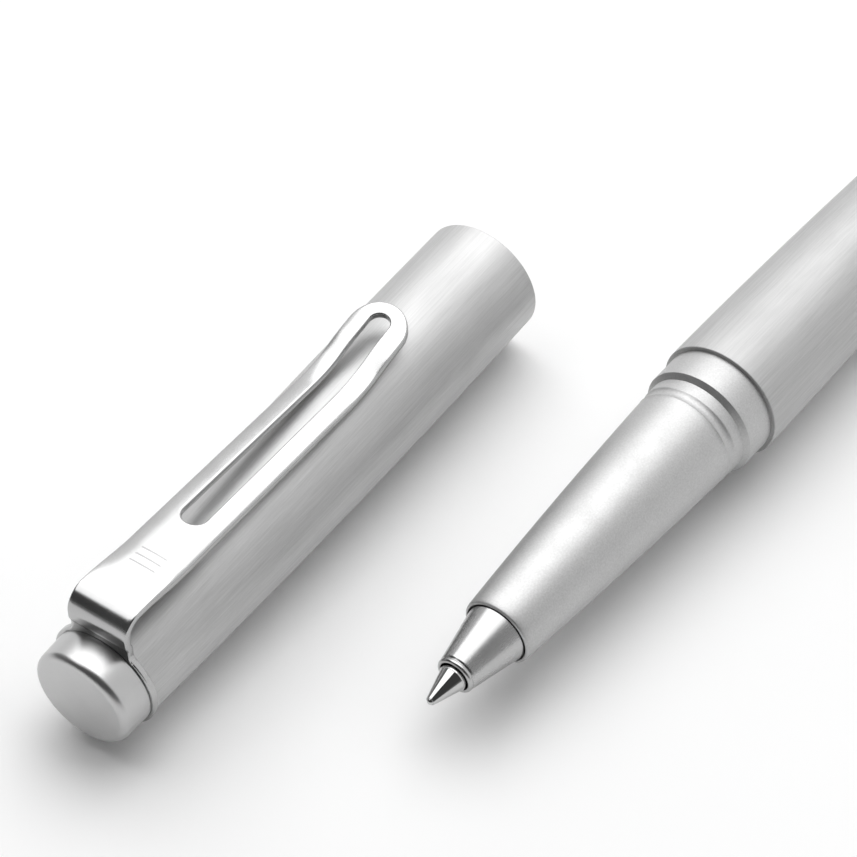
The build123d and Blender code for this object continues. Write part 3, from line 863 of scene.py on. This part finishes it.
def stroke(build, u_middle, half_length):
    """One etched stroke across the strip: a thin bar with round ends that follows the crown."""
    outline = []
    for k in range(MARK_END_STEPS + 1):
        angle = math.pi * k / MARK_END_STEPS
        outline.append((math.cos(angle) * MARK_HALF_WIDTH, half_length + math.sin(angle) * MARK_HALF_WIDTH))
    for k in range(1, MARK_SIDE_STEPS):
        outline.append((-MARK_HALF_WIDTH, half_length - 2 * half_length * k / MARK_SIDE_STEPS))
    rim = outline + [(-du, -v) for du, v in outline]
    base = THICKNESS / 2
    sunk = base - MARK_SUNK
    raised = base + MARK_RELIEF
    low = [build.verts.new(clip_point(u_middle + du, v, sunk)) for du, v in rim]
    high = [build.verts.new(clip_point(u_middle + du * MARK_TAPER, v, raised)) for du, v in rim]
    count = len(rim)
    for k in range(count):
        j = (k + 1) % count
        build.faces.new((low[k], low[j], high[j], high[k]))
    build.faces.new(list(reversed(low)))
    build.faces.new(high)


mark_build = bmesh.new()
for step in (-1, 0, 1):
    stroke(mark_build, clip_path.length_at(MARK_STATION) + step * MARK_SPACING, MARK_HALF_LENGTH)
bmesh.ops.triangulate(mark_build, faces=[face for face in mark_build.faces if len(face.verts) > 4])
bmesh.ops.recalc_face_normals(mark_build, faces=mark_build.faces)
mark_mesh = bpy.data.meshes.new("clip_mark")
mark_build.to_mesh(mark_mesh)
mark_build.free()
mark = finished(mark_mesh, "clip_mark_strokes", CAP, mark_steel)
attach(mark, "clip")

# --- Refill spring ------------------------------------------------------------------------------

SPRING_RADIUS = 2.5
SPRING_WIRE = 0.2
spring_low, spring_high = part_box("refill_spring")
spring_start = (spring_low.x - pen_origin.x) / MM + SPRING_WIRE
spring_end = (spring_high.x - pen_origin.x) / MM - SPRING_WIRE


def spring_mesh():
    """A round wire wound into open turns, with a closed turn lying flat at each end."""
    build = bmesh.new()
    turns, steps, sides = 7, 60, 14
    closed = 1.0
    rows = []
    length = spring_end - spring_start
    for k in range(turns * steps + 1):
        turn = k / steps
        open_share = min(max((turn - closed) / (turns - 2 * closed), 0), 1)
        flat = min(turn, closed) + max(turn - (turns - closed), 0)
        station = spring_start + flat * 2 * SPRING_WIRE + open_share * (length - 4 * SPRING_WIRE * closed)
        angle = 2 * math.pi * turn
        outward = Vector((0, math.sin(angle), math.cos(angle)))
        centre = outward * SPRING_RADIUS + Vector((station, 0, 0))
        row = []
        for j in range(sides):
            a = 2 * math.pi * j / sides
            spoke = outward * math.cos(a) + Vector((math.sin(a), 0, 0))
            row.append(build.verts.new(centre + spoke * SPRING_WIRE))
        rows.append(row)
    for a, b in zip(rows, rows[1:]):
        for j in range(sides):
            i = (j + 1) % sides
            build.faces.new((a[j], a[i], b[i], b[j]))
    build.faces.new(rows[0])
    build.faces.new(reversed(rows[-1]))
    bmesh.ops.recalc_face_normals(build, faces=build.faces)
    mesh = bpy.data.meshes.new("spring")
    build.to_mesh(mesh)
    build.free()
    return mesh


spring = finished(spring_mesh(), "refill_coil_spring", PEN, spring_steel)
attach(spring, "tail_spring")
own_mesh(spring)
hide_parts("refill_spring")

# --- Materials of the CAD nodes that stay -------------------------------------------------------

KEPT = {
    "writing_ball": nib_steel,
    "spring_seat": spring_steel,
    "barrel_thread_insert": thread_brass,
    "section_o_ring": rubber,
    "refill_tube": refill_plastic,
    "refill_tip_holder": black_plastic,
    "refill_end_plug": black_plastic,
    "refill_ink": ink_colour,
    "ink_follower": grease,
    "cap_clutch_ring": black_plastic,
    "inner_cap": black_plastic,
    "nib_seal_pad": rubber,
    "finial_stud": spring_steel,
    "finial_nut": thread_brass,
}
for name, material in KEPT.items():
    mesh = frame["nodes"][name].data
    mesh.materials.clear()
    mesh.materials.append(material)

# --- Stage, light and camera --------------------------------------------------------------------


def stage_plane(name, size, matrix, material):
    mesh = bpy.data.meshes.new(name)
    x, y = size[0] / 2, size[1] / 2
    mesh.from_pydata([(-x, -y, 0), (x, -y, 0), (x, y, 0), (-x, y, 0)], [], [(0, 1, 2, 3)])
    mesh.materials.append(material)
    plane = bpy.data.objects.new(name, mesh)
    bpy.context.scene.collection.objects.link(plane)
    plane.matrix_world = matrix
    return plane


floor_paper = Shader("floor_paper", Metallic=0.0)
paper_tone = floor_paper.noise(0.02, detail=3)
floor_paper.shades(floor_paper.ramp(paper_tone, 0, 1, 0.3, 0.7), (0.95, 0.95, 0.95), (0.965, 0.965, 0.965))
floor_paper.surface.inputs["Roughness"].default_value = 0.9
floor_paper.surface.inputs["Specular IOR Level"].default_value = 0.1
stage_plane("floor", (8, 8), Matrix.Translation((0, 0, -0.0002)), floor_paper.material)

VIEW_AZIMUTH = math.radians(37.795)
VIEW_ELEVATION = math.radians(48.818)
forward = Vector((math.cos(VIEW_AZIMUTH), math.sin(VIEW_AZIMUTH), 0))
left = Vector((-math.sin(VIEW_AZIMUTH), math.cos(VIEW_AZIMUTH), 0))


def panel(name, centre, turn, size, radiance):
    """A softbox of an even brightness. Turn gives its facing: X across, Z away from what it lights."""
    light = bpy.data.lights.new(name, "AREA")
    light.shape = "RECTANGLE"
    light.size, light.size_y = size
    light.energy = radiance * math.pi * size[0] * size[1]
    lamp = bpy.data.objects.new(name, light)
    bpy.context.scene.collection.objects.link(lamp)
    lamp.matrix_world = Matrix.Translation(centre) @ turn.to_4x4()
    return lamp


HEIGHT = 1.2
up = Vector((0, 0, 1))
level = Matrix((left, -forward, up)).transposed()
upright = Matrix((left, up, forward)).transposed()
overhead_centre = (forward * 0.55 + left * 0.17 + up) * HEIGHT
overhead_size = (1.55 * HEIGHT, 1.35 * HEIGHT)
panel("overhead", overhead_centre, level, overhead_size, 2.08)
panel("far_wall", forward * 2.2 + up * 1.3, upright, (3.2, 0.9), 0.15)


# One row for each fade of the room's brightness: axis, start, end, and the brightness at each.
HORIZON_FADE = ("Z", -0.02, 0.3, 0.34, 0.07)
TAIL_FADE = ("X", -0.03, 0.36, 0.07, 0.98)


def studio_world():
    """A room that is pale towards the tail of the pen, grey at the horizon and dark before its nib."""
    world = bpy.data.worlds.new("studio")
    world.use_nodes = True
    nodes, links = world.node_tree.nodes, world.node_tree.links
    nodes["Background"].inputs["Color"].default_value = (1, 1, 1, 1)
    place = nodes.new("ShaderNodeTexCoord")
    split = nodes.new("ShaderNodeSeparateXYZ")
    links.new(place.outputs["Generated"], split.inputs["Vector"])
    fades = []
    for axis, start, end, first, last in (HORIZON_FADE, TAIL_FADE):
        fade = nodes.new("ShaderNodeMapRange")
        fade.interpolation_type = "SMOOTHSTEP"
        fade.inputs["From Min"].default_value = start
        fade.inputs["From Max"].default_value = end
        fade.inputs["To Min"].default_value = first
        fade.inputs["To Max"].default_value = last
        links.new(split.outputs[axis], fade.inputs["Value"])
        fades.append(fade.outputs["Result"])
    brighter = nodes.new("ShaderNodeMath")
    brighter.operation = "MAXIMUM"
    links.new(fades[0], brighter.inputs[0])
    links.new(fades[1], brighter.inputs[1])
    links.new(brighter.outputs[0], nodes["Background"].inputs["Strength"])
    return world


bpy.context.scene.world = studio_world()
bpy.context.scene.view_settings.view_transform = "Standard"
bpy.context.scene.view_settings.look = "None"

ROLL = math.radians(-0.222)
LENS = 128.15
CAMERA_FROM_RIM = Vector((-164.866, -93.885, 210.734))

look = forward * math.cos(VIEW_ELEVATION) - up * math.sin(VIEW_ELEVATION)
across = look.cross(up).normalized()
down = look.cross(across)
image_x = across * math.cos(ROLL) + down * math.sin(ROLL)
image_y = down * math.cos(ROLL) - across * math.sin(ROLL)
camera_data = bpy.data.cameras.new("camera")
camera_data.sensor_width = 36
camera_data.lens = LENS
camera_data.clip_start = 0.01
camera_data.clip_end = 50
camera = bpy.data.objects.new("camera", camera_data)
bpy.context.scene.collection.objects.link(camera)
camera_matrix = Matrix((image_x, -image_y, -look)).transposed().to_4x4()
camera_matrix.translation = pen_origin + CAMERA_FROM_RIM * MM
camera.matrix_world = camera_matrix
bpy.context.scene.camera = camera
